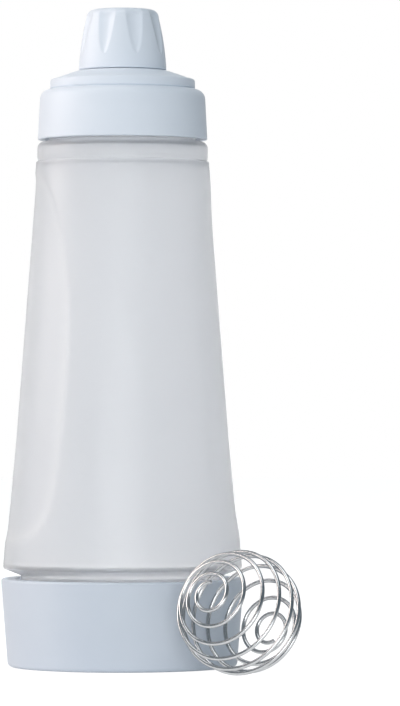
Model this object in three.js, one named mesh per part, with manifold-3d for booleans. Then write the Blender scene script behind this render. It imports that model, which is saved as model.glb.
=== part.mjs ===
// Batter dispenser: a tapered squeeze bottle with a screw base, a screw lid with a pouring
// spout, a fluted nozzle cap, and a loose wire whisk ball. Millimetres, +Z up.
// The origin is the middle of the base's flat underside, and -Y is the front.
import * as THREE from 'three';
import { mergeVertices } from 'three/addons/utils/BufferGeometryUtils.js';
import Module from 'manifold-3d';

const wasm = await Module();
wasm.setup();

// Clearances and seals shared by all pieces
const seatGap = 0.3;
const sideGap = 0.4;
const gasketThickness = 1.6;

// Screw threads: round ridges on both walls of each pair
const threadTurns = 1.25;
const ridgeRoot = 0.25;
const baseThread = { lead: 6.0, ridge: 1.6, gap: 2.0 };
const lidThread = { lead: 5.0, ridge: 1.3, gap: 1.7 };
const capThread = { lead: 3.6, ridge: 1.0, gap: 1.3 };

// Bottle
const lowerNeckRadius = 39.7;
const upperNeckRadius = 28.8;
const upperNeckHeight = 15.3;
const bodyWall = 2.0;
const bodyHeight = 159.0;
const shoulderWidth = 7.05;
const shoulderRound = 0.8;
const shoulderDrop = 2.8;
const bodyTopStep = 5.05;
const collarStep = 0.45;
const collarHeight = 8.0;
const collarRound = 2.6;

// Scooped thumb recesses on the two sides of the bottle
const gripDepth = 1.0;
const gripHalfWidth = 37.4;
const gripMidRise = 49.5;
const gripFootMargin = 7.5;
const gripTopMargin = 4.5;
const gripUpperPower = 2.5;
const gripLowerPower = 4.0;
const gripTurn = 6;

// Base cup
const baseHeight = 34.5;
const baseFloor = 3.0;
const baseFootWall = 3.2;
const baseRimWall = 5.9;
const baseCorner = 1.8;
const baseRimRound = 1.0;
const baseMouthLand = 5.0;
const shoulderGap = 4.0;
const gasketWidth = 4.5;

// Lid and spout
const lidGap = 0.8;
const lidFootWall = 2.75;
const lidSkirtTaper = 1.0;
const lidShoulder = 3.0;
const lidShoulderRound = 4.0;
const tierSet = 3.85;
const tierHeight = 3.9;
const tierRound = 1.2;
const tierWall = 2.0;
const lidDome = 3.4;
const lidDomeBow = 0.4;
const lidPlate = 2.4;
const landRadius = 17.6;
const spoutRadius = 11.4;
const spoutWall = 2.0;
const spoutHeight = 12.3;
const spoutLip = 2.5;
const spoutEdge = 0.4;
const rimLand = 3.2;
const spoutLand = 2.4;

// Soft nozzle and the ring that holds it
const nozzleStemRadius = 6.6;
const nozzleWall = 1.6;
const nozzleFlange = 2.0;
const nozzleReach = 7.05;
const nozzleTaper = 5.1;
const nozzleTipRadius = 3.4;
const nozzleTipWall = 1.9;
const nozzleTipRound = 0.6;
const retainerHeight = 2.0;
const retainerWidth = 3.0;

// Nozzle cap
const capFootWall = 4.5;
const capTopWall = 3.7;
const capUpperBore = 10.5;
const capBoreRoom = 1.0;
const capTopThickness = 2.7;
const capBow = 0.5;
const capEdge = 3.4;
const linerThickness = 1.4;
const fluteCount = 8;
const fluteDepth = 1.2;
const fluteHalfAngle = 15;
const fluteAzimuth = 20;
const fluteRise = 6.5;

// Whisk ball, one wire wound as a spiral over a sphere
const whiskRadius = 24.0;
const whiskWire = 1.4;
const whiskLoops = 9.6;
const whiskPole = 12.5;
const whiskEndRing = 0.6;
const whiskClearance = 1.5;
const whiskAzimuth = 38.3;
const whiskAxis = new THREE.Vector3(-0.519, -0.786, 0.337).normalize();

// Facets
const roundSteps = 36;
const capSteps = 48;
const smallSteps = 28;
const wallRows = 10;
const capRows = 7;
const arcSteps = 3;
const loopSteps = 24;
const wireSides = 6;

// Places that follow from the sizes above
const cupBore = lowerNeckRadius + baseThread.gap;
const baseFootRadius = cupBore + baseFootWall;
const baseRimRadius = cupBore + baseRimWall;
const bodyFootRadius = lowerNeckRadius + shoulderWidth;
const bodyTopRadius = upperNeckRadius + bodyTopStep;
const collarRadius = bodyTopRadius - collarStep;
const lidBore = upperNeckRadius + lidThread.gap;
const lidFootRadius = lidBore + lidFootWall;
const lidTopRadius = lidFootRadius - lidSkirtTaper;
const tierRadius = lidTopRadius - tierSet;
const spoutBore = spoutRadius - spoutWall;
const capBore = spoutRadius + capThread.gap;
const capFootRadius = capBore + capFootWall;
const capShoulderRadius = capUpperBore + capTopWall;

const neckFootZ = baseFloor + seatGap + gasketThickness + seatGap;
const bodyFootZ = baseHeight + shoulderGap;
const bodyTopZ = bodyFootZ + bodyHeight;
const collarTopZ = bodyTopZ + collarHeight;
const neckRimZ = collarTopZ + upperNeckHeight;
const lidFootZ = collarTopZ + lidGap;
const lidCeilingZ = neckRimZ + seatGap + gasketThickness + seatGap;
const lidShoulderZ = lidCeilingZ + lidShoulder;
const tierTopZ = lidShoulderZ + tierHeight;
const landZ = tierTopZ + lidDome;
const spoutTopZ = landZ + spoutHeight;
const lipZ = spoutTopZ - spoutLip;
const flangeTopZ = lipZ - seatGap;
const flangeFootZ = flangeTopZ - nozzleFlange;
const nozzleTopZ = spoutTopZ + nozzleReach;
const capFootZ = landZ + seatGap;
const linerFootZ = nozzleTopZ + seatGap;
const capCeilingZ = linerFootZ + linerThickness + seatGap;
const capTopZ = capCeilingZ + capTopThickness;

// Profiles are points of radius and height, and run anticlockwise round the section
const at = (radius, height) => new THREE.Vector2(radius, height);
const radians = THREE.MathUtils.degToRad;

function arc(radius, height, bend, fromDegrees, toDegrees) {
  const curve = new THREE.EllipseCurve(
    radius, height, bend, bend, radians(fromDegrees), radians(toDegrees), toDegrees < fromDegrees);
  return curve.getPoints(arcSteps);
}

// A line from one point to another that bows sideways by the given amount at its middle
function bowed(from, to, bow, rows) {
  const middle = from.clone().lerp(to, 0.5);
  const control = at(middle.x + 2 * bow, middle.y);
  return new THREE.QuadraticBezierCurve(from, control, to).getPoints(rows);
}

function turned(profile, steps) {
  const loop = [...profile, profile[0]];
  return new THREE.LatheGeometry(loop, steps).rotateX(Math.PI / 2);
}

// Merge shared vertices and drop the flat triangles that a lathe leaves on its axis
function closed(geometry) {
  geometry.deleteAttribute('normal');
  geometry.deleteAttribute('uv');
  const merged = mergeVertices(geometry);
  const corners = merged.index.array;
  const kept = [];
  for (let i = 0; i < corners.length; i += 3) {
    const [a, b, c] = corners.slice(i, i + 3);
    if (a !== b && b !== c && c !== a) kept.push(a, b, c);
  }
  merged.setIndex(kept);
  return merged;
}

function toSolid(geometry) {
  const merged = closed(geometry);
  return new wasm.Manifold(new wasm.Mesh({
    numProp: 3,
    vertProperties: new Float32Array(merged.attributes.position.array),
    triVerts: new Uint32Array(merged.index.array),
  }));
}

function toGeometry(solid) {
  const mesh = solid.getMesh();
  const geometry = new THREE.BufferGeometry();
  geometry.setAttribute('position', new THREE.BufferAttribute(mesh.vertProperties, 3));
  geometry.setIndex(new THREE.BufferAttribute(mesh.triVerts, 1));
  geometry.computeVertexNormals();
  return geometry;
}

// Move points in towards the Z axis by a depth that depends on azimuth, height and radius
function pressedIn(geometry, depthAt) {
  const points = geometry.attributes.position;
  for (let i = 0; i < points.count; i += 1) {
    const x = points.getX(i);
    const y = points.getY(i);
    const radius = Math.hypot(x, y);
    if (radius > 0) {
      const factor = 1 - depthAt(Math.atan2(x, -y), points.getZ(i), radius) / radius;
      points.setXY(i, x * factor, y * factor);
    }
  }
  return geometry;
}

// Angle between two azimuths, from 0 to pi
function apart(first, second) {
  return Math.abs(Math.atan2(Math.sin(first - second), Math.cos(first - second)));
}

// Curves whose steps are even in angle
class Helix extends THREE.Curve {
  constructor(radius, footZ, lead) {
    super();
    Object.assign(this, { radius, footZ, lead });
  }

  getPoint(t) {
    const turns = threadTurns * t;
    const azimuth = 2 * Math.PI * turns;
    return new THREE.Vector3(
      this.radius * Math.sin(azimuth), -this.radius * Math.cos(azimuth), this.footZ + this.lead * turns);
  }

  getUtoTmapping(u) {
    return u;
  }
}

class SphereSpiral extends THREE.Curve {
  constructor(radius, axis) {
    super();
    this.radius = radius;
    this.axis = axis;
    this.side = new THREE.Vector3(0, 0, 1).addScaledVector(axis, -axis.z).normalize();
    this.across = new THREE.Vector3().crossVectors(axis, this.side);
  }

  // The first and last loops flatten into rings round the poles, and the rest climb evenly
  getPoint(t) {
    const climb = (loops) => loops - whiskEndRing * (1 - Math.exp(-loops / whiskEndRing));
    const fromEnd = whiskLoops * Math.min(t, 1 - t);
    const rise = (90 - whiskPole) * climb(fromEnd) / climb(whiskLoops / 2);
    const polar = radians(t < 0.5 ? whiskPole + rise : 180 - whiskPole - rise);
    const turn = 2 * Math.PI * whiskLoops * t;
    return new THREE.Vector3()
      .addScaledVector(this.axis, this.radius * Math.cos(polar))
      .addScaledVector(this.side, this.radius * Math.sin(polar) * Math.cos(turn))
      .addScaledVector(this.across, this.radius * Math.sin(polar) * Math.sin(turn));
  }

  getUtoTmapping(u) {
    return u;
  }
}

function roundBar(curve, barRadius, steps) {
  const section = new THREE.Shape();
  for (let i = 0; i < wireSides; i += 1) {
    const angle = 2 * Math.PI * i / wireSides;
    const corner = [barRadius * Math.cos(angle), barRadius * Math.sin(angle)];
    if (i === 0) section.moveTo(...corner);
    else section.lineTo(...corner);
  }
  section.closePath();
  return new THREE.ExtrudeGeometry(section, { steps, bevelEnabled: false, extrudePath: curve });
}

// A thread ridge rooted in a wall: on an outer wall its middle lies inside the radius
function threadRidge(wallRadius, side, footZ, thread) {
  const path = new Helix(wallRadius - side * ridgeRoot, footZ, thread.lead);
  return toSolid(roundBar(path, thread.ridge, Math.round(roundSteps * threadTurns)));
}

const threadRise = (thread) => thread.lead * threadTurns;
const cupRidgeZ = baseHeight - baseMouthLand - threadRise(baseThread);
const neckRidgeZ = neckRimZ - rimLand - threadRise(lidThread);
const spoutRidgeZ = spoutTopZ - spoutLand - threadRise(capThread);

// Base cup, with its thread ridge half a lead above the one on the bottle's lower neck
function baseCup() {
  const profile = [
    at(0, 0),
    ...arc(baseFootRadius - baseCorner, baseCorner, baseCorner, -90, 0),
    ...arc(baseRimRadius - baseRimRound, baseHeight - baseRimRound, baseRimRound, 0, 90),
    at(cupBore, baseHeight),
    at(cupBore, baseFloor),
    at(0, baseFloor),
  ];
  const cup = toSolid(turned(profile, roundSteps));
  return toGeometry(cup.add(threadRidge(cupBore, -1, cupRidgeZ, baseThread)));
}

function ring(innerRadius, outerRadius, footZ, height, steps) {
  const profile = [
    at(innerRadius, footZ),
    at(outerRadius, footZ),
    at(outerRadius, footZ + height),
    at(innerRadius, footZ + height),
  ];
  return closed(turned(profile, steps));
}

// Depth of the egg-shaped scoops, deepest at their middle, which the wall follows inside and out
function gripAt(azimuth, z, radius) {
  const midZ = bodyFootZ + gripMidRise;
  const upper = z > midZ;
  const endZ = upper ? bodyTopZ - gripTopMargin : bodyFootZ + gripFootMargin;
  const power = upper ? gripUpperPower : gripLowerPower;
  const along = (z - midZ) / (endZ - midZ);
  const sideways = Math.min(
    apart(azimuth, radians(gripTurn - 90)), apart(azimuth, radians(gripTurn + 90)));
  const level = along ** power + (sideways * radius / gripHalfWidth) ** power;
  return gripDepth * Math.max(0, 1 - level);
}

// Bottle: lower neck, sloped shoulder, tapered wall, collar and upper neck, open at both ends
function bottleBody() {
  const lowerBore = lowerNeckRadius - bodyWall;
  const upperBore = upperNeckRadius - bodyWall;
  const footInnerZ = bodyFootZ + bodyWall;
  const slopeAngle = THREE.MathUtils.radToDeg(Math.atan2(shoulderDrop, shoulderWidth));
  const wallFoot = at(bodyFootRadius, bodyFootZ + shoulderRound);
  const wallTop = at(bodyTopRadius, bodyTopZ);
  const outerWall = new THREE.LineCurve(wallFoot, wallTop).getPoints(wallRows);
  const innerWall = outerWall.slice(1).map((point) => at(point.x - bodyWall, point.y)).reverse();
  const footRound = arc(
    bodyFootRadius - shoulderRound, wallFoot.y, shoulderRound, slopeAngle - 90, 0);
  const profile = [
    at(lowerBore, neckFootZ),
    at(lowerNeckRadius, neckFootZ),
    at(lowerNeckRadius, bodyFootZ - shoulderDrop),
    ...footRound.slice(0, -1),
    ...outerWall,
    at(collarRadius, bodyTopZ + collarStep),
    ...arc(collarRadius - collarRound, collarTopZ - collarRound, collarRound, 0, 90),
    at(upperNeckRadius, collarTopZ),
    at(upperNeckRadius, neckRimZ),
    at(upperBore, neckRimZ),
    at(upperBore, collarTopZ - bodyWall),
    at(collarRadius - bodyWall - collarRound, collarTopZ - bodyWall),
    at(collarRadius - bodyWall, collarTopZ - bodyWall - collarRound),
    ...innerWall,
    at(bodyFootRadius - bodyWall - shoulderRound / 2, footInnerZ),
    at(lowerBore, footInnerZ - shoulderDrop),
  ];
  const shell = toSolid(pressedIn(turned(profile, roundSteps), (azimuth, z, radius) => (
    z > bodyFootZ + gripFootMargin && z < bodyTopZ - gripTopMargin ? gripAt(azimuth, z, radius) : 0)));
  const lowerRidge = threadRidge(lowerNeckRadius, 1, cupRidgeZ - baseThread.lead / 2, baseThread);
  const upperRidge = threadRidge(upperNeckRadius, 1, neckRidgeZ, lidThread);
  return toGeometry(shell.add(lowerRidge).add(upperRidge));
}

// Lid: threaded skirt, smaller hollow tier, domed top and the spout with its inward lip
function lidShell() {
  const tierBore = tierRadius - tierWall;
  const plateZ = landZ - lidPlate;
  const lipBore = nozzleStemRadius + sideGap;
  const profile = [
    at(lidBore, lidFootZ),
    at(lidFootRadius, lidFootZ),
    ...arc(lidTopRadius - lidShoulderRound, lidShoulderZ - lidShoulderRound, lidShoulderRound, 0, 90),
    at(tierRadius, lidShoulderZ),
    ...arc(tierRadius - tierRound, tierTopZ - tierRound, tierRound, 0, 90),
    ...bowed(at(tierRadius - tierRound, tierTopZ), at(landRadius, landZ), lidDomeBow, arcSteps).slice(1),
    at(spoutRadius, landZ),
    at(spoutRadius, spoutTopZ - spoutEdge),
    at(spoutRadius - spoutEdge, spoutTopZ),
    at(lipBore, spoutTopZ),
    at(lipBore, lipZ),
    at(spoutBore, lipZ),
    at(spoutBore, plateZ),
    at(landRadius, plateZ),
    at(tierBore - tierRound, tierTopZ - lidPlate),
    at(tierBore, tierTopZ - lidPlate - tierRound),
    at(tierBore, lidCeilingZ),
    at(lidBore, lidCeilingZ),
  ];
  const shell = toSolid(turned(profile, roundSteps));
  const skirtRidge = threadRidge(lidBore, -1, neckRidgeZ - lidThread.lead / 2, lidThread);
  const spoutRidge = threadRidge(spoutRadius, 1, spoutRidgeZ, capThread);
  return toGeometry(shell.add(skirtRidge).add(spoutRidge));
}

// Soft pouring nozzle: a flange under the spout's lip and a stem that narrows to the tip
function nozzleTip() {
  const bore = nozzleStemRadius - nozzleWall;
  const tipBore = nozzleTipRadius - nozzleTipWall;
  const taperZ = nozzleTopZ - nozzleTaper;
  const profile = [
    at(bore, flangeFootZ),
    at(spoutBore - seatGap, flangeFootZ),
    at(spoutBore - seatGap, flangeTopZ),
    at(nozzleStemRadius, flangeTopZ),
    at(nozzleStemRadius, taperZ),
    ...arc(nozzleTipRadius - nozzleTipRound, nozzleTopZ - nozzleTipRound, nozzleTipRound, 0, 90),
    at(tipBore, nozzleTopZ),
    at(tipBore, nozzleTopZ - nozzleWall),
    at(bore, taperZ - nozzleWall),
  ];
  return closed(turned(profile, smallSteps));
}

// Depth of the flutes, which widen and deepen from their tips up to the cap's top
function fluteAt(azimuth, z, radius) {
  const climb = (z - capFootZ - fluteRise) / (capTopZ - capFootZ - fluteRise);
  if (climb <= 0 || radius < capUpperBore / 2) return 0;
  const pitch = 2 * Math.PI / fluteCount;
  const offset = (azimuth - radians(fluteAzimuth)) / pitch;
  const sideways = Math.abs(offset - Math.round(offset)) * pitch;
  const halfAngle = radians(fluteHalfAngle) * Math.sqrt(climb);
  return fluteDepth * climb * Math.max(0, 1 - (sideways / halfAngle) ** 2);
}

function capLathe(profile) {
  return turned(profile, capSteps).rotateZ(radians(fluteAzimuth));
}

// Nozzle cap: a fluted shell over a stepped bore with a thread ridge
function nozzleCap() {
  const edgeZ = capTopZ - capEdge;
  const shoulder = at(capShoulderRadius, edgeZ);
  const outside = [
    at(0, capFootZ),
    ...bowed(at(capFootRadius, capFootZ), shoulder, capBow, capRows).slice(0, -1),
    ...arc(capShoulderRadius - capEdge, edgeZ, capEdge, 0, 90),
    at(0, capTopZ),
  ];
  const boreTopZ = spoutTopZ + capBoreRoom;
  const hollow = [
    at(0, capFootZ - capBoreRoom),
    at(capBore, capFootZ - capBoreRoom),
    at(capBore, boreTopZ),
    at(capUpperBore, boreTopZ),
    at(capUpperBore, capCeilingZ),
    at(0, capCeilingZ),
  ];
  const shell = toSolid(pressedIn(capLathe(outside), fluteAt)).subtract(toSolid(capLathe(hollow)));
  return toGeometry(shell.add(threadRidge(capBore, -1, spoutRidgeZ - capThread.lead / 2, capThread)));
}

function capLiner() {
  const profile = [
    at(0, linerFootZ),
    at(capUpperBore - seatGap, linerFootZ),
    at(capUpperBore - seatGap, linerFootZ + linerThickness),
    at(0, linerFootZ + linerThickness),
  ];
  return closed(turned(profile, smallSteps));
}

// Whisk ball, standing on the same surface as the base, beside it
function whiskBall() {
  const path = new SphereSpiral(whiskRadius - whiskWire / 2, whiskAxis);
  const steps = Math.round(whiskLoops * loopSteps);
  const points = path.getSpacedPoints(steps);
  let leastGap = Infinity;
  points.forEach((point, i) => {
    points.slice(i + loopSteps / 2).forEach((other) => {
      leastGap = Math.min(leastGap, point.distanceTo(other) - whiskWire);
    });
  });
  console.log(`whisk_ball least gap to itself: ${leastGap.toFixed(2)} mm`);
  const wire = closed(roundBar(path, whiskWire / 2, steps));
  wire.computeBoundingBox();
  const reach = baseRimRadius + whiskClearance + whiskRadius;
  const azimuth = radians(whiskAzimuth);
  return wire.translate(reach * Math.sin(azimuth), -reach * Math.cos(azimuth), -wire.boundingBox.min.z);
}

const finish = (color, roughness, metalness = 0) => (
  new THREE.MeshStandardMaterial({ color, roughness, metalness }));

function addPiece(name, geometry, material) {
  const mesh = new THREE.Mesh(geometry, material);
  mesh.name = name;
  dispenser.add(mesh);
}

const dispenser = new THREE.Group();
const gasketOuter = lowerNeckRadius + gasketWidth / 2 - bodyWall / 2;
const lidGasketInner = upperNeckRadius - bodyWall;

addPiece('base_cup', baseCup(), finish('#c3cedb', 0.45));
addPiece('base_gasket',
  ring(gasketOuter - gasketWidth, gasketOuter, baseFloor + seatGap, gasketThickness, roundSteps),
  finish('#e9e9e6', 0.7));
addPiece('bottle_body', bottleBody(), finish('#dde1e4', 0.5));
addPiece('lid', lidShell(), finish('#cfd9e6', 0.45));
addPiece('lid_gasket',
  ring(lidGasketInner, lidBore - seatGap, neckRimZ + seatGap, gasketThickness, roundSteps),
  finish('#e9e9e6', 0.7));
addPiece('nozzle_tip', nozzleTip(), finish('#eceae4', 0.6));
addPiece('nozzle_retainer',
  ring(spoutBore - seatGap - retainerWidth, spoutBore - seatGap,
    flangeFootZ - seatGap - retainerHeight, retainerHeight, smallSteps),
  finish('#cfd9e6', 0.5));
addPiece('nozzle_cap', nozzleCap(), finish('#d3dde9', 0.45));
addPiece('cap_liner', capLiner(), finish('#e9e9e6', 0.7));
addPiece('whisk_ball', whiskBall(), finish('#b9bcc0', 0.25, 1));

export default dispenser;
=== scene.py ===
import math

import bpy
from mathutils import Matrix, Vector


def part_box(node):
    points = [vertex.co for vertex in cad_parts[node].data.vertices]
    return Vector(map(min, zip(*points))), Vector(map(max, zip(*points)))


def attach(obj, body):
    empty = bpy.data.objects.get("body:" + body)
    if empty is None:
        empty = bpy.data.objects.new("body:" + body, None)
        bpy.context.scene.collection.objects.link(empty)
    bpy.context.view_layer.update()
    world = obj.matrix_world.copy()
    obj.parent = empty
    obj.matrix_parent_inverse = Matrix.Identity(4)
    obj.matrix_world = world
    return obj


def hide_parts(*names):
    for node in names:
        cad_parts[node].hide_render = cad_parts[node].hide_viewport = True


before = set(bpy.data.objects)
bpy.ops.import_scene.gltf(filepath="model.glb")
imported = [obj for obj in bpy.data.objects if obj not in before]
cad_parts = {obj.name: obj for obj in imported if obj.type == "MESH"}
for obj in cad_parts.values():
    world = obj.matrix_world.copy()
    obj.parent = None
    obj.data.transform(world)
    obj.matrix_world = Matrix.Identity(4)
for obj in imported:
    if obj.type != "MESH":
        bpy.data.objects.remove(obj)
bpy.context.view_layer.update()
mm = 0.001  # outlines below are in millimetres, the scene is in metres
mergeDistance = 0.002
smallPieceAngle = 50  # degrees up to which the cap and the small pieces shade smoothly


# Helpers for modelling

def clearSelection():
    if bpy.context.object and bpy.context.object.mode != "OBJECT":
        bpy.ops.object.mode_set(mode="OBJECT")
    bpy.ops.object.select_all(action="DESELECT")


def pick(piece):
    clearSelection()
    piece.select_set(True)
    bpy.context.view_layer.objects.active = piece


def roundCorners(corners, arcPoints=6):
    # each corner is (radius, height) or (radius, height, bend), and the outline closes on itself
    outline = []
    for i, corner in enumerate(corners):
        here = Vector(corner[:2])
        if len(corner) < 3:
            outline.append(here)
            continue
        back = (Vector(corners[i - 1][:2]) - here).normalized()
        ahead = (Vector(corners[(i + 1) % len(corners)][:2]) - here).normalized()
        half = back.angle(ahead) / 2
        middle = here + (back + ahead).normalized() * corner[2] / math.sin(half)
        first = here + back * corner[2] / math.tan(half) - middle
        last = here + ahead * corner[2] / math.tan(half) - middle
        sweep = first.angle_signed(last)
        for k in range(arcPoints + 1):
            turn = -sweep * k / arcPoints
            outline.append(middle + Vector((
                first.x * math.cos(turn) - first.y * math.sin(turn),
                first.x * math.sin(turn) + first.y * math.cos(turn))))
    return outline


def bowedLine(start, end, bow, rows):
    # points between two ends, swelling sideways by bow at the middle
    points = []
    for k in range(1, rows):
        t = k / rows
        points.append((start[0] + (end[0] - start[0]) * t + 4 * bow * t * (1 - t),
                       start[1] + (end[1] - start[1]) * t))
    return points


def drawOutline(name, outline, closed):
    # a new plane is merged to one point, which is pulled along the outline
    clearSelection()
    bpy.ops.mesh.primitive_plane_add(size=mm, location=(0, 0, 0))
    piece = bpy.context.object
    piece.name = name
    piece.data.name = name
    bpy.ops.object.mode_set(mode="EDIT")
    bpy.ops.mesh.select_all(action="SELECT")
    bpy.ops.mesh.merge(type="CENTER")
    path = list(outline) + ([outline[0]] if closed else [])
    bpy.ops.transform.translate(value=(path[0][0] * mm, 0, path[0][1] * mm))
    for here, there in zip(path, path[1:]):
        step = ((there[0] - here[0]) * mm, 0, (there[1] - here[1]) * mm)
        bpy.ops.mesh.extrude_vertices_move(TRANSFORM_OT_translate={"value": step})
    return piece


def turnOutline(name, outline, steps, closed=True):
    piece = drawOutline(name, outline, closed)
    bpy.ops.mesh.select_all(action="SELECT")
    bpy.ops.mesh.spin(steps=steps, angle=2 * math.pi, center=(0, 0, 0), axis=(0, 0, 1))
    bpy.ops.mesh.select_all(action="SELECT")
    bpy.ops.mesh.remove_doubles(threshold=mergeDistance * mm)
    bpy.ops.mesh.normals_make_consistent(inside=False)
    bpy.ops.object.mode_set(mode="OBJECT")
    return piece


def applyModifier(piece, kind, **settings):
    pick(piece)
    modifier = piece.modifiers.new(kind.title(), kind)
    for key, value in settings.items():
        setattr(modifier, key, value)
    bpy.ops.object.modifier_apply(modifier=modifier.name)


def smoothShade(piece, degrees=35):
    pick(piece)
    bpy.ops.object.shade_smooth_by_angle(angle=math.radians(degrees))


def pressIn(piece, groupName, depth, weightAt):
    # weights worked out per point, then pushed along the normals by a Displace modifier
    group = piece.vertex_groups.new(name=groupName)
    for point in piece.data.vertices:
        weight = weightAt(point.co / mm)
        if weight > 0:
            group.add([point.index], min(1.0, weight), "REPLACE")
    applyModifier(piece, "DISPLACE", vertex_group=groupName, mid_level=0.0,
                  direction="NORMAL", strength=-depth * mm)
    piece.vertex_groups.remove(piece.vertex_groups[groupName])


def markPoints(piece, name, weightAt):
    # a value for each point, which the piece's material reads
    marks = piece.data.attributes.new(name, "FLOAT", "POINT")
    marks.data.foreach_set("value", [weightAt(point.co / mm) for point in piece.data.vertices])


def threadRidge(name, thread, radius, startHeight):
    # a round section at the front, wound up by a Screw modifier and closed at both ends
    clearSelection()
    bpy.ops.mesh.primitive_circle_add(
        vertices=ridgeSides, radius=thread["ridge"] * mm, fill_type="NGON",
        location=(0, -radius * mm, startHeight * mm), rotation=(0, math.pi / 2, 0))
    ridge = bpy.context.object
    ridge.name = name
    bpy.ops.object.transform_apply(location=True, rotation=True, scale=True)
    bpy.ops.object.mode_set(mode="EDIT")
    bpy.ops.mesh.select_all(action="SELECT")
    bpy.ops.mesh.delete(type="ONLY_FACE")
    bpy.ops.object.mode_set(mode="OBJECT")
    turns = thread["turns"]
    steps = int(ridgeSteps * turns)
    applyModifier(ridge, "SCREW", axis="Z", angle=2 * math.pi * turns, use_merge_vertices=False,
                  screw_offset=thread["lead"] * turns * mm, steps=steps, render_steps=steps)
    pick(ridge)
    bpy.ops.object.mode_set(mode="EDIT")
    bpy.ops.mesh.select_all(action="SELECT")
    bpy.ops.mesh.fill_holes(sides=0)
    bpy.ops.mesh.select_all(action="SELECT")
    bpy.ops.mesh.normals_make_consistent(inside=False)
    bpy.ops.object.mode_set(mode="OBJECT")
    return ridge


def weldRidge(piece, name, thread, radius, startHeight):
    ridge = threadRidge(name, thread, radius, startHeight)
    applyModifier(piece, "BOOLEAN", operation="UNION", solver="EXACT", object=ridge)
    bpy.data.objects.remove(ridge)


def finishPiece(piece, material, body, slotName, *nodes):
    piece.data.materials.clear()
    piece.data.materials.append(material)
    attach(piece, body)
    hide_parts(*nodes)


# Materials

def newMaterial(name):
    material = bpy.data.materials.new(name)
    material.use_nodes = True
    tree = material.node_tree
    return material, tree, tree.nodes["Principled BSDF"]


def objectNoise(tree, scale, detail, roughness=0.55):
    place = tree.nodes.new("ShaderNodeTexCoord")
    noise = tree.nodes.new("ShaderNodeTexNoise")
    noise.inputs["Scale"].default_value = scale
    noise.inputs["Detail"].default_value = detail
    noise.inputs["Roughness"].default_value = roughness
    tree.links.new(place.outputs["Object"], noise.inputs["Vector"])
    return noise.outputs["Fac"]


def rampBetween(tree, source, low, high, start=0.3, end=0.7):
    ramp = tree.nodes.new("ShaderNodeValToRGB")
    ramp.color_ramp.elements[0].position = start
    ramp.color_ramp.elements[0].color = (*low, 1)
    ramp.color_ramp.elements[1].position = end
    ramp.color_ramp.elements[1].color = (*high, 1)
    tree.links.new(source, ramp.inputs["Fac"])
    return ramp.outputs["Color"]


def valueRange(tree, source, low, high):
    mapRange = tree.nodes.new("ShaderNodeMapRange")
    mapRange.inputs["To Min"].default_value = low
    mapRange.inputs["To Max"].default_value = high
    tree.links.new(source, mapRange.inputs["Value"])
    return mapRange.outputs["Result"]


def largest(tree, *values):
    total = values[0]
    for value in values[1:]:
        most = tree.nodes.new("ShaderNodeMath")
        most.operation = "MAXIMUM"
        tree.links.new(total, most.inputs[0])
        tree.links.new(value, most.inputs[1])
        total = most.outputs["Value"]
    return total


def addBump(tree, shader, source, strength, distance):
    bump = tree.nodes.new("ShaderNodeBump")
    bump.inputs["Strength"].default_value = strength
    bump.inputs["Distance"].default_value = distance
    tree.links.new(source, bump.inputs["Height"])
    tree.links.new(bump.outputs["Normal"], shader.inputs["Normal"])


def mixColour(tree, factor, colour, other):
    blend = tree.nodes.new("ShaderNodeMix")
    blend.data_type = "RGBA"
    blend.inputs["B"].default_value = other
    tree.links.new(factor, blend.inputs["Factor"])
    tree.links.new(colour, blend.inputs["A"])
    return blend.outputs["Result"]


def mouldedSurface(tree, shader, look):
    # cloudy roughness and a fine grain, and the cloudy colour for the material to use
    cloud = objectNoise(tree, look["cloudScale"], look["cloudDetail"])
    grain = objectNoise(tree, look["grainScale"], look["grainDetail"])
    tree.links.new(valueRange(tree, cloud, *look["roughness"]), shader.inputs["Roughness"])
    addBump(tree, shader, grain, look["grainStrength"], look["grainDistance"])
    return rampBetween(tree, cloud, look["low"], look["high"])


icePlasticLook = {
    "low": (0.745, 0.80, 0.87), "high": (0.785, 0.835, 0.90), "roughness": (0.42, 0.54),
    "cloudScale": 24, "cloudDetail": 3, "grainScale": 2600, "grainDetail": 2,
    "grainStrength": 0.05, "grainDistance": 0.00003, "refraction": 1.49, "specular": 0.4,
}


def icePlastic(name, look):
    material, tree, shader = newMaterial(name)
    tree.links.new(mouldedSurface(tree, shader, look), shader.inputs["Base Color"])
    shader.inputs["IOR"].default_value = look["refraction"]
    shader.inputs["Specular IOR Level"].default_value = look["specular"]
    return material


frostedLook = {
    "low": (0.832, 0.843, 0.862), "high": (0.852, 0.862, 0.880),
    "roughness": (0.40, 0.50), "cloudScale": 14, "cloudDetail": 3, "grainScale": 2200, "grainDetail": 2,
    "grainStrength": 0.06, "grainDistance": 0.00003, "refraction": 1.12,
    "clear": 0.81, "skin": 0.36, "skinRoughness": 0.34,
    # painted light: a near-white colour on the necks lightens the shaded gaps at the base cup and under the
    # lid
    "gapLightColour": (0.965, 0.968, 0.975, 1), "neckClear": 0.92,
    "lowerNeck": (38.6, 42.0), "upperNeck": (205.3, 206.3),
    # painted highlight: this lighter colour brightens a band inside the left scoop's crease
    "creaseHighlightColour": (0.890, 0.898, 0.912, 1), "creaseHighlightMark": "paintedCreaseHighlight",
}


def gapLightMask(tree, lower, upper):
    # 1 on the necks, 0 on the frosted wall between them; the necks get painted light, a near-white colour
    # with more transmission, which lifts the shaded gaps above the base cup and under the lid
    place = tree.nodes.new("ShaderNodeTexCoord")
    split = tree.nodes.new("ShaderNodeSeparateXYZ")
    tree.links.new(place.outputs["Object"], split.inputs["Vector"])
    necks = []
    for start, end, low, high in ((*lower, 1, 0), (*upper, 0, 1)):
        neck = tree.nodes.new("ShaderNodeMapRange")
        neck.inputs["From Min"].default_value = start * mm
        neck.inputs["From Max"].default_value = end * mm
        neck.inputs["To Min"].default_value = low
        neck.inputs["To Max"].default_value = high
        tree.links.new(split.outputs["Z"], neck.inputs["Value"])
        necks.append(neck.outputs["Result"])
    return largest(tree, *necks)


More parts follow.
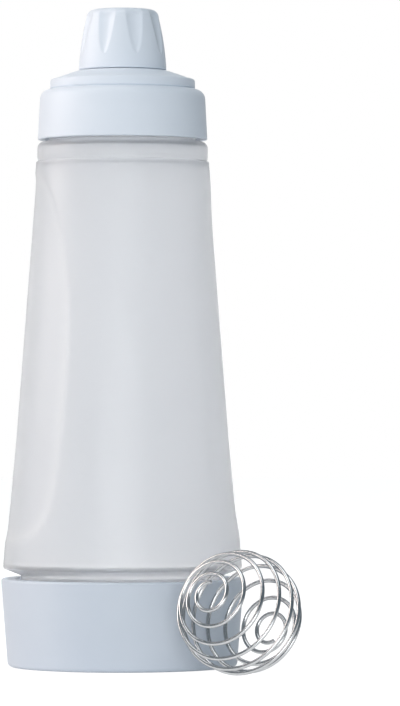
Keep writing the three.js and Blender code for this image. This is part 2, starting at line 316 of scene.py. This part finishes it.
def frostedPlastic(name, look):
    material, tree, shader = newMaterial(name)
    wallColour = mouldedSurface(tree, shader, look)
    mask = gapLightMask(tree, look["lowerNeck"], look["upperNeck"])
    # painted highlight along the left scoop's crease, read from the marked points
    creaseHighlight = tree.nodes.new("ShaderNodeAttribute")
    creaseHighlight.attribute_name = look["creaseHighlightMark"]
    # painted light on the necks, where the gaps between the parts lie in shade
    colour = mixColour(tree, mask, wallColour, look["gapLightColour"])
    colour = mixColour(tree, creaseHighlight.outputs["Fac"], colour, look["creaseHighlightColour"])
    clearness = valueRange(tree, mask, look["clear"], look["neckClear"])
    tree.links.new(colour, shader.inputs["Base Color"])
    tree.links.new(clearness, shader.inputs["Transmission Weight"])
    shader.inputs["IOR"].default_value = look["refraction"]
    shader.inputs["Coat Weight"].default_value = look["skin"]  # the moulded skin's soft shine
    shader.inputs["Coat Roughness"].default_value = look["skinRoughness"]
    return material


siliconeLook = {
    "low": (0.80, 0.79, 0.76), "high": (0.86, 0.85, 0.82),
    "roughness": (0.55, 0.68), "cloudScale": 60, "cloudDetail": 4, "grainScale": 1800, "grainDetail": 2,
    "grainStrength": 0.08, "grainDistance": 0.00004,
}


def silicone(name, look):
    material, tree, shader = newMaterial(name)
    tree.links.new(mouldedSurface(tree, shader, look), shader.inputs["Base Color"])
    return material


steelLook = {
    "low": (0.50, 0.51, 0.52), "high": (0.60, 0.61, 0.62), "paintedEdgeShade": (0.30, 0.31, 0.33, 1),
    "roughness": (0.16, 0.30), "scale": 420, "detail": 5, "grainStrength": 0.06, "grainDistance": 0.00002,
}


def drawnSteel(name, look):
    material, tree, shader = newMaterial(name)
    streak = objectNoise(tree, look["scale"], look["detail"])
    tree.links.new(rampBetween(tree, streak, look["low"], look["high"]), shader.inputs["Base Color"])
    tree.links.new(valueRange(tree, streak, *look["roughness"]), shader.inputs["Roughness"])
    addBump(tree, shader, streak, look["grainStrength"], look["grainDistance"])
    shader.inputs["Metallic"].default_value = 1.0
    # painted shade in the reflections: a dark tint at grazing edges stands in for dark surroundings that the
    # wire reflects
    shader.inputs["Specular Tint"].default_value = look["paintedEdgeShade"]
    return material


lidFinish = icePlastic("iceBlueLid", icePlasticLook)
baseFinish = icePlastic("iceBlueBase", {
    **icePlasticLook, "low": (0.612, 0.665, 0.741), "high": (0.651, 0.703, 0.770)})
bottleFinish = frostedPlastic("frostedBottle", frostedLook)
sealFinish = silicone("whiteSeal", siliconeLook)
nozzleFinish = silicone("nozzleSilicone", {
    **siliconeLook, "low": (0.82, 0.81, 0.77), "high": (0.88, 0.87, 0.83)})
wireFinish = drawnSteel("drawnSteelWire", steelLook)
print("materials ready")


# Camera at the photograph's viewing angle

cameraSetup = {"eye": (30.36, -1784, 106), "aim": (30.36, 0, 122.7), "lens": 232, "clip": (0.01, 50)}


def makeCamera(setup):
    clearSelection()
    bpy.ops.object.camera_add(location=Vector(setup["eye"]) * mm)
    camera = bpy.context.object
    camera.name = "viewCamera"
    look = Vector(setup["aim"]) - Vector(setup["eye"])
    camera.rotation_euler = look.to_track_quat("-Z", "Y").to_euler()
    camera.data.lens = setup["lens"]
    camera.data.clip_start, camera.data.clip_end = setup["clip"]
    bpy.context.scene.camera = camera


makeCamera(cameraSetup)
print("camera ready")


# Screw threads, one pair of ridges for each joint of the bottle

baseThread = {"lead": 6.0, "ridge": 1.6, "turns": 1.25}
lidThread = {"lead": 5.0, "ridge": 1.3, "turns": 1.25}
capThread = {"lead": 3.6, "ridge": 1.0, "turns": 1.25}
ridgeRoot = 0.25  # how far a ridge's middle lies inside its wall
ridgeSides = 12
ridgeSteps = 96  # for each whole turn


# Base cup

baseCup = {
    "height": 34.5, "footRadius": 44.9, "rimRadius": 47.6, "bore": 41.7, "floor": 3.0,
    "footBend": 1.8, "rimBend": 1.0, "ringRadius": 37.5, "ringWidth": 1.2, "ringDepth": 0.4,
    "ringBend": 0.15, "mouthBend": 0.5, "floorBend": 1.4, "ridgeHeight": 22.0, "steps": 160,
}


def makeBaseCup(cup):
    ringBend = cup["ringBend"]
    ringIn = cup["ringRadius"] - cup["ringWidth"] / 2
    ringOut = cup["ringRadius"] + cup["ringWidth"] / 2
    outline = roundCorners([
        (0, 0), (ringIn, 0, ringBend), (ringIn, cup["ringDepth"], ringBend),
        (ringOut, cup["ringDepth"], ringBend), (ringOut, 0, ringBend),
        (cup["footRadius"], 0, cup["footBend"]),
        (cup["rimRadius"], cup["height"], cup["rimBend"]),
        (cup["bore"], cup["height"], cup["mouthBend"]),
        (cup["bore"], cup["floor"], cup["floorBend"]), (0, cup["floor"])])
    piece = turnOutline("baseCup", outline, cup["steps"])
    weldRidge(piece, "cupRidge", baseThread, cup["bore"] + ridgeRoot, cup["ridgeHeight"])
    smoothShade(piece)
    return piece


finishPiece(makeBaseCup(baseCup), baseFinish, "base", "base_plastic", "base_cup")
print("base cup ready")


# Bottle, with a scooped thumb recess on each side

bottle = {
    "lowerNeck": 39.7, "neckFoot": 5.2, "upperNeck": 28.8, "rim": 220.8, "wall": 2.0,
    "foot": 38.5, "footRadius": 46.75, "footBend": 0.8, "drop": 2.8, "top": 197.5, "topRadius": 33.85,
    "collarRadius": 33.4, "collarTop": 205.5, "collarBend": 2.6, "groove": 0.25, "grooveRise": 0.4,
    "grooveBend": 0.3, "collarRise": 2.0, "collarFootBend": 1.0, "neckBend": 0.6, "wallRows": 110,
    "steps": 240, "lowerRidge": 19.0, "upperRidge": 211.35,
    "edgeBevel": 0.35, "bevelSegments": 2, "bevelAngle": 50,
}
thumbScoop = {
    "depth": 1.5, "halfWidth": 37.9, "middle": 88.0, "foot": 48.5, "top": 193.0,
    "footPower": 4.0, "topPower": 2.5, "turn": 6, "bankWidth": 2.1, "footBank": 4.0,
    "crown": 0.25, "endCrown": 0.4, "farBank": 14.0, "creaseHighlightWidth": 1.8, "leastSlope": 0.001,
}


def scoopPlace(point):
    # shares of the way along and across a recess, and about how many millimetres in from its edge
    scoop = thumbScoop
    upper = point.z > scoop["middle"]
    reach = (scoop["top"] if upper else scoop["foot"]) - scoop["middle"]
    power = scoop["topPower"] if upper else scoop["footPower"]
    along = (point.z - scoop["middle"]) / reach
    azimuth = math.atan2(point.x, -point.y) - math.radians(scoop["turn"])
    fromSide = abs(abs(math.atan2(math.sin(azimuth), math.cos(azimuth))) - math.pi / 2)
    across = fromSide * math.hypot(point.x, point.y) / scoop["halfWidth"]
    inside = max(0, 1 - along ** power - across ** power)
    steepness = power * math.hypot(along ** (power - 1) / reach,
                                   across ** (power - 1) / scoop["halfWidth"])
    return along, across, inside / max(steepness, scoop["leastSlope"])


def scoopWeight(point):
    scoop = thumbScoop
    along, across, fromEdge = scoopPlace(point)
    if point.x > 0:  # the photograph shows no crease on the right
        bank = 1 - math.exp(-(fromEdge / scoop["farBank"]) ** 2)
    else:
        width = scoop["bankWidth"]
        if point.z < scoop["middle"]:
            width += (scoop["footBank"] - width) * along ** 2
        bank = 1 - math.exp(-fromEdge / width)
    # the floor swells to its middle
    crown = (scoop["crown"] + scoop["endCrown"] * along) * (1 - across) ** 2
    return bank * (1 - crown)


def creaseHighlightWeight(point):
    # painted highlight: a lighter colour, strongest just inside the crease, stands in for the light that the
    # scoop's bank catches
    if point.x > 0:
        return 0
    fromEdge = scoopPlace(point)[2] / thumbScoop["creaseHighlightWidth"]
    return fromEdge * math.exp(1 - fromEdge)


def makeBottle(shape):
    collar = shape["collarRadius"]
    wallFoot = (shape["footRadius"], shape["foot"] + 2 * shape["footBend"])
    wallTop = (shape["topRadius"], shape["top"])
    outline = roundCorners([
        (shape["lowerNeck"], shape["neckFoot"]),
        (shape["lowerNeck"], shape["foot"] - shape["drop"], shape["neckBend"]),
        (shape["footRadius"], shape["foot"], shape["footBend"]),
        *bowedLine(wallFoot, wallTop, 0, shape["wallRows"]),
        (*wallTop, shape["grooveBend"]),
        (collar - shape["groove"], shape["top"] + shape["grooveRise"], shape["grooveBend"]),
        (collar, shape["top"] + shape["collarRise"], shape["collarFootBend"]),
        (collar, shape["collarTop"], shape["collarBend"]),
        (shape["upperNeck"], shape["collarTop"], shape["neckBend"]), (shape["upperNeck"], shape["rim"])])
    piece = turnOutline("bottleBody", outline, shape["steps"], closed=False)
    # marks where the painted highlight band goes, inside the left crease
    markPoints(piece, frostedLook["creaseHighlightMark"], creaseHighlightWeight)
    pressIn(piece, "thumbScoop", thumbScoop["depth"], scoopWeight)
    applyModifier(piece, "SOLIDIFY", thickness=shape["wall"] * mm, offset=-1.0, use_even_offset=True)
    applyModifier(piece, "BEVEL", width=shape["edgeBevel"] * mm, segments=shape["bevelSegments"],
                  limit_method="ANGLE", angle_limit=math.radians(shape["bevelAngle"]))
    weldRidge(piece, "lowerRidge", baseThread, shape["lowerNeck"] - ridgeRoot, shape["lowerRidge"])
    weldRidge(piece, "upperRidge", lidThread, shape["upperNeck"] - ridgeRoot, shape["upperRidge"])
    smoothShade(piece)
    return piece


finishPiece(makeBottle(bottle), bottleFinish, "bottle", "frosted_plastic", "bottle_body")
print("bottle ready")


# Lid with its tier and pouring spout

lid = {
    "bore": 30.5, "foot": 206.3, "footRadius": 33.25, "topRadius": 32.25, "shoulder": 226.0,
    "shoulderBend": 4.0, "groove": 0.4, "tierRadius": 28.4, "tierTop": 229.9, "tierBend": 1.2,
    "landRadius": 17.6, "land": 233.3, "domeBow": 0.4, "spoutRadius": 11.4, "spoutTop": 245.6,
    "spoutBore": 9.4, "lipBore": 7.0, "lip": 243.1, "plate": 2.4, "tierBore": 26.4, "ceiling": 223.0,
    "footBends": (0.5, 0.4), "grooveBends": (0.2, 0.15, 0.25), "tierShare": 0.95, "domeRows": 8,
    "spoutBend": 0.5, "lipEdgeBend": 0.4, "lipBend": 0.2, "plateBends": (0.6, 2.0, 1.6),
    "ceilingBends": (0.4, 0.6), "skirtRidge": 208.85, "spoutRidge": 238.7, "steps": 160,
}


def makeLid(shape):
    groove = shape["groove"]
    tierEdge = (shape["tierRadius"] - shape["tierBend"], shape["tierTop"])
    landEdge = (shape["landRadius"], shape["land"])
    plateFoot = shape["land"] - shape["plate"]
    grooveBase = shape["tierRadius"] - groove
    tierFoot = shape["shoulder"] + groove
    spout, spoutBend = shape["spoutRadius"], shape["spoutBend"]
    boreBend, landBend, tierBoreBend = shape["plateBends"]
    outline = roundCorners([
        (shape["bore"], shape["foot"], shape["footBends"][0]),
        (shape["footRadius"], shape["foot"], shape["footBends"][1]),
        (shape["topRadius"], shape["shoulder"], shape["shoulderBend"]),
        (grooveBase, shape["shoulder"], shape["grooveBends"][0]),
        (grooveBase, tierFoot, shape["grooveBends"][1]),
        (shape["tierRadius"], tierFoot, shape["grooveBends"][2]),
        (shape["tierRadius"], shape["tierTop"], shape["tierBend"] * shape["tierShare"]),
        *bowedLine(tierEdge, landEdge, shape["domeBow"], shape["domeRows"]),
        landEdge, (spout, shape["land"], spoutBend), (spout, shape["spoutTop"], spoutBend),
        (shape["lipBore"], shape["spoutTop"], shape["lipEdgeBend"]),
        (shape["lipBore"], shape["lip"], shape["lipBend"]),
        (shape["spoutBore"], shape["lip"], shape["lipBend"]),
        (shape["spoutBore"], plateFoot, boreBend), (shape["landRadius"], plateFoot, landBend),
        (shape["tierBore"], shape["tierTop"] - shape["plate"], tierBoreBend),
        (shape["tierBore"], shape["ceiling"], shape["ceilingBends"][0]),
        (shape["bore"], shape["ceiling"], shape["ceilingBends"][1])])
    piece = turnOutline("lidShell", outline, shape["steps"])
    weldRidge(piece, "skirtRidge", lidThread, shape["bore"] + ridgeRoot, shape["skirtRidge"])
    weldRidge(piece, "spoutRidge", capThread, shape["spoutRadius"] - ridgeRoot, shape["spoutRidge"])
    smoothShade(piece)
    return piece


finishPiece(makeLid(lid), lidFinish, "lid", "lid_plastic", "lid")
print("lid ready")


# Fluted nozzle cap

cap = {
    "foot": 233.6, "footRadius": 17.2, "footBend": 0.6, "top": 257.35, "shoulderRadius": 14.2,
    "edgeBend": 3.4, "bow": 0.5, "bore": 12.7, "boreTop": 246.6, "upperBore": 10.5, "ceiling": 254.65,
    "mouthBend": 0.5, "edgeLean": 0.15, "edgeShare": 0.95, "ceilingBend": 0.5, "stepBends": (0.3, 0.4),
    "arcPoints": 8, "rows": 44, "steps": 288, "ridge": 236.9,
}
flutes = {
    "count": 8, "azimuth": 20, "depth": 1.35, "halfAngle": 15.5, "foot": 239.4, "fade": 2.6,
    "boreRoom": 0.1,
}


def fluteWeight(point):
    radius = math.hypot(point.x, point.y)
    climb = (point.z - flutes["foot"]) / (cap["top"] - flutes["foot"])
    room = flutes["boreRoom"]
    inBore = radius < cap["bore"] + room and point.z < cap["ceiling"] + room
    if climb <= 0 or inBore:
        return 0
    pitch = 2 * math.pi / flutes["count"]
    offset = (math.atan2(point.x, -point.y) - math.radians(flutes["azimuth"])) / pitch
    across = abs(offset - round(offset)) * pitch
    halfAngle = math.radians(flutes["halfAngle"]) * math.sqrt(climb)
    runOut = min(1.0, (cap["top"] - point.z) / flutes["fade"])  # dies away over the rounded edge
    return max(0, 1 - (across / halfAngle) ** 2) * math.sqrt(climb) * runOut


def makeCap(shape):
    sideFoot = (shape["footRadius"], shape["foot"])
    sideTop = (shape["shoulderRadius"], shape["top"] - shape["edgeBend"])
    side = bowedLine(sideFoot, sideTop, shape["bow"], shape["rows"])
    clearOfBend = side[2:]  # the first two points lie in the foot's bend
    outline = roundCorners([
        (shape["bore"], shape["foot"], shape["mouthBend"]), (*sideFoot, shape["footBend"]),
        *clearOfBend, sideTop,
        (shape["shoulderRadius"] - shape["edgeLean"], shape["top"], shape["edgeBend"] * shape["edgeShare"]),
        (0, shape["top"]), (0, shape["ceiling"]),
        (shape["upperBore"], shape["ceiling"], shape["ceilingBend"]),
        (shape["upperBore"], shape["boreTop"], shape["stepBends"][0]),
        (shape["bore"], shape["boreTop"], shape["stepBends"][1])], arcPoints=shape["arcPoints"])
    piece = turnOutline("nozzleCap", outline, shape["steps"])
    pressIn(piece, "flutes", flutes["depth"], fluteWeight)
    weldRidge(piece, "capRidge", capThread, shape["bore"] + ridgeRoot, shape["ridge"])
    smoothShade(piece, smallPieceAngle)
    return piece


finishPiece(makeCap(cap), lidFinish, "cap", "lid_plastic", "nozzle_cap")
print("cap ready")


# Soft nozzle, its retainer and the three seals, all hidden while the bottle is closed

nozzle = {
    "bore": 5.0, "flangeRadius": 9.1, "flangeFoot": 240.8, "flangeTop": 242.8, "stemRadius": 6.6,
    "taper": 247.55, "tipRadius": 3.4, "tipBore": 1.5, "top": 252.65, "wall": 1.6, "flangeBend": 0.5,
    "innerBend": 0.3, "taperBend": 2.0, "tipBends": (0.7, 0.6), "steps": 96,
}


def makeNozzle(shape):
    flangeBend, innerBend, taperBend = shape["flangeBend"], shape["innerBend"], shape["taperBend"]
    outline = roundCorners([
        (shape["bore"], shape["flangeFoot"], innerBend),
        (shape["flangeRadius"], shape["flangeFoot"], flangeBend),
        (shape["flangeRadius"], shape["flangeTop"], flangeBend),
        (shape["stemRadius"], shape["flangeTop"], innerBend),
        (shape["stemRadius"], shape["taper"], taperBend),
        (shape["tipRadius"], shape["top"], shape["tipBends"][0]),
        (shape["tipBore"], shape["top"], innerBend),
        (shape["tipBore"], shape["top"] - shape["wall"], shape["tipBends"][1]),
        (shape["bore"], shape["taper"] - shape["wall"], taperBend)])
    piece = turnOutline("nozzleTip", outline, shape["steps"])
    smoothShade(piece, smallPieceAngle)
    return piece


rings = {
    "baseGasket": {"node": "base_gasket", "body": "base_seal", "slot": "seal", "finish": sealFinish,
                   "inner": 36.45, "bend": 0.35},
    "lidGasket": {"node": "lid_gasket", "body": "lid_seal", "slot": "seal", "finish": sealFinish,
                  "inner": 26.8, "bend": 0.35},
    "nozzleRetainer": {"node": "nozzle_retainer", "body": "lid", "slot": "lid_plastic",
                       "finish": lidFinish, "inner": 6.1, "bend": 0.4},
}
ringSteps = 128


def turnedSize(node):
    # outer radius, foot and top of a round solid, in millimetres
    low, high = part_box(node)
    return high.x / mm, low.z / mm, high.z / mm


def makeRing(name, shape):
    inner, bend = shape["inner"], shape["bend"]
    outer, foot, top = turnedSize(shape["node"])
    outline = roundCorners([
        (inner, foot, bend), (outer, foot, bend), (outer, top, bend), (inner, top, bend)])
    piece = turnOutline(name, outline, ringSteps)
    smoothShade(piece, smallPieceAngle)
    return piece


liner = {
    "node": "cap_liner", "discRadius": 5.2, "dip": 0.3, "slope": 0.4, "rimWidth": 0.8,
    "dipBend": 0.2, "edgeBend": 0.3, "steps": 96,
}


def makeLiner(shape):
    outer, foot, top = turnedSize(shape["node"])
    dip, slope, dipBend = shape["dip"], shape["slope"], shape["dipBend"]
    disc = shape["discRadius"]
    rim = outer - shape["rimWidth"]
    outline = roundCorners([
        (0, foot), (disc, foot, dipBend), (disc + slope, foot + dip, dipBend),
        (rim - slope, foot + dip, dipBend), (rim, foot, dipBend),
        (outer, foot, shape["edgeBend"]), (outer, top, shape["edgeBend"]), (0, top)])
    piece = turnOutline("capLiner", outline, shape["steps"])
    smoothShade(piece, smallPieceAngle)
    return piece


finishPiece(makeNozzle(nozzle), nozzleFinish, "lid", "nozzle_silicone", "nozzle_tip")
for ringName, ring in rings.items():
    finishPiece(makeRing(ringName, ring), ring["finish"], ring["body"], ring["slot"], ring["node"])
finishPiece(makeLiner(liner), sealFinish, "cap_seal", "seal", "cap_liner")
print("nozzle and seals ready")


# Whisk ball, one wire wound over a sphere

whisk = {
    "radius": 23.85, "wire": 1.6, "loops": 9.6, "pole": 12.5, "endRing": 0.6, "reach": 73.1,
    "azimuth": 38.3, "axis": (-0.519, -0.786, 0.337), "stepsPerLoop": 96, "roundness": 3,
    "mergeDistance": 0.001, "endBevel": 0.3, "endSegments": 3, "endAngle": 60,
}


def whiskPath(ball):
    axis = Vector(ball["axis"]).normalized()
    side = (Vector((0, 0, 1)) - axis * axis.z).normalized()
    across = axis.cross(side)
    lineRadius = ball["radius"] - ball["wire"] / 2

    def climb(loops):
        return loops - ball["endRing"] * (1 - math.exp(-loops / ball["endRing"]))

    points = []
    steps = int(ball["loops"] * ball["stepsPerLoop"])
    for k in range(steps + 1):
        t = k / steps
        rise = (90 - ball["pole"]) * climb(ball["loops"] * min(t, 1 - t)) / climb(ball["loops"] / 2)
        polar = math.radians(ball["pole"] + rise if t < 0.5 else 180 - ball["pole"] - rise)
        turn = 2 * math.pi * ball["loops"] * t
        points.append((axis * math.cos(polar) + math.sin(polar)
                       * (side * math.cos(turn) + across * math.sin(turn))) * lineRadius)
    azimuth = math.radians(ball["azimuth"])
    lowest = min(point.z for point in points)
    middle = Vector((ball["reach"] * math.sin(azimuth), -ball["reach"] * math.cos(azimuth),
                     ball["wire"] / 2 - lowest))
    return [(middle + point) * mm for point in points]


def makeWhisk(ball):
    path = whiskPath(ball)
    clearSelection()
    bpy.ops.curve.primitive_nurbs_path_add()
    piece = bpy.context.object
    piece.name = "whiskBall"
    curve = piece.data
    curve.splines.clear()
    line = curve.splines.new("POLY")
    line.points.add(len(path) - 1)
    for point, place in zip(line.points, path):
        point.co = (*place, 1)
    curve.dimensions = "3D"
    curve.bevel_depth = ball["wire"] / 2 * mm
    curve.bevel_resolution = ball["roundness"]
    curve.use_fill_caps = True
    pick(piece)
    bpy.ops.object.convert(target="MESH")
    piece = bpy.context.object
    bpy.ops.object.mode_set(mode="EDIT")
    bpy.ops.mesh.select_all(action="SELECT")
    bpy.ops.mesh.remove_doubles(threshold=ball["mergeDistance"] * mm)
    bpy.ops.mesh.normals_make_consistent(inside=False)
    bpy.ops.object.mode_set(mode="OBJECT")
    applyModifier(piece, "BEVEL", width=ball["endBevel"] * mm, segments=ball["endSegments"],
                  limit_method="ANGLE", angle_limit=math.radians(ball["endAngle"]))
    smoothShade(piece, ball["endAngle"])
    return piece


finishPiece(makeWhisk(whisk), wireFinish, "whisk", "whisk_steel", "whisk_ball")
print("whisk ready")


# Floor, backdrop light and lamps

stageSetup = {
    "floorSize": 8.0, "floorDrop": 0.0002, "floorColour": (0.86, 0.87, 0.88, 1),
    "shadowShare": 0.3, "glow": 1.36,
}
worldSetup = {
    "colour": (0.67, 0.86, 1.0, 1), "strength": 0.21, "backdrop": (0.5, 0.8),
    "backdropColour": (1, 1, 1, 1),
}
white = (1.0, 1.0, 1.0)
lampSetup = {
    "keyLamp": {"place": (-1.55, 0.12, 0.75), "size": (0.9, 0.9), "power": 15.2,
                "colour": (1.0, 0.88, 0.82)},
    "fillLamp": {"place": (-0.05, -1.6, 0.17), "size": (1.2, 0.3), "power": 9.3, "colour": white},
    "topLamp": {"place": (-0.12, -0.42, 1.75), "size": (1.2, 1.2), "power": 11.0, "colour": white},
}
lampAim = (0.0, 0.0, 0.13)


def makeFloor(setup):
    clearSelection()
    bpy.ops.mesh.primitive_plane_add(size=setup["floorSize"], location=(0, 0, -setup["floorDrop"]))
    floor = bpy.context.object
    floor.name = "floor"
    material = bpy.data.materials.new("paleFloor")
    material.use_nodes = True
    tree = material.node_tree
    tree.nodes.clear()
    diffuse = tree.nodes.new("ShaderNodeBsdfDiffuse")
    diffuse.inputs["Color"].default_value = setup["floorColour"]
    glow = tree.nodes.new("ShaderNodeEmission")
    glow.inputs["Strength"].default_value = setup["glow"]
    blend = tree.nodes.new("ShaderNodeMixShader")
    ray = tree.nodes.new("ShaderNodeLightPath").outputs
    share = tree.nodes.new("ShaderNodeMath")
    share.operation = "MULTIPLY"
    share.inputs[1].default_value = 1 - setup["shadowShare"]
    output = tree.nodes.new("ShaderNodeOutputMaterial")
    seesGlow = largest(tree, ray["Is Camera Ray"], ray["Is Glossy Ray"], ray["Is Transmission Ray"])
    tree.links.new(seesGlow, share.inputs[0])
    tree.links.new(share.outputs["Value"], blend.inputs["Fac"])
    tree.links.new(diffuse.outputs["BSDF"], blend.inputs[1])
    tree.links.new(glow.outputs["Emission"], blend.inputs[2])
    tree.links.new(blend.outputs["Shader"], output.inputs["Surface"])
    floor.data.materials.append(material)


def makeWorld(setup):
    world = bpy.data.worlds.new("studioWorld")
    bpy.context.scene.world = world
    world.use_nodes = True
    tree = world.node_tree
    tree.nodes.clear()
    ambient = tree.nodes.new("ShaderNodeBackground")
    ambient.inputs["Color"].default_value = setup["colour"]
    ambient.inputs["Strength"].default_value = setup["strength"]
    backdrop = tree.nodes.new("ShaderNodeBackground")
    backdrop.inputs["Color"].default_value = setup["backdropColour"]
    blend = tree.nodes.new("ShaderNodeMixShader")
    output = tree.nodes.new("ShaderNodeOutputWorld")
    ray = tree.nodes.new("ShaderNodeLightPath").outputs
    direction = tree.nodes.new("ShaderNodeTexCoord")
    split = tree.nodes.new("ShaderNodeSeparateXYZ")
    behind = tree.nodes.new("ShaderNodeMapRange")  # reflections find the white backdrop behind the object
    behind.inputs["From Min"].default_value = setup["backdrop"][0]
    behind.inputs["From Max"].default_value = setup["backdrop"][1]
    mirrored = tree.nodes.new("ShaderNodeMath")
    mirrored.operation = "MULTIPLY"
    tree.links.new(direction.outputs["Generated"], split.inputs["Vector"])
    tree.links.new(split.outputs["Y"], behind.inputs["Value"])
    tree.links.new(behind.outputs["Result"], mirrored.inputs[0])
    tree.links.new(ray["Is Glossy Ray"], mirrored.inputs[1])
    seesBackdrop = largest(tree, ray["Is Camera Ray"], ray["Is Transmission Ray"], mirrored.outputs["Value"])
    tree.links.new(seesBackdrop, blend.inputs["Fac"])
    tree.links.new(ambient.outputs["Background"], blend.inputs[1])
    tree.links.new(backdrop.outputs["Background"], blend.inputs[2])
    tree.links.new(blend.outputs["Shader"], output.inputs["Surface"])


def makeLamp(name, lamp):
    clearSelection()
    bpy.ops.object.light_add(type="AREA", location=lamp["place"])
    light = bpy.context.object
    light.name = name
    look = Vector(lampAim) - Vector(lamp["place"])
    light.rotation_euler = look.to_track_quat("-Z", "Y").to_euler()
    light.data.shape = "RECTANGLE"
    light.data.size, light.data.size_y = lamp["size"]
    light.data.energy = lamp["power"]
    light.data.color = lamp["colour"]


makeFloor(stageSetup)
makeWorld(worldSetup)
for lampName, lampValues in lampSetup.items():
    makeLamp(lampName, lampValues)
bpy.context.scene.view_settings.view_transform = "Standard"
print("stage ready")
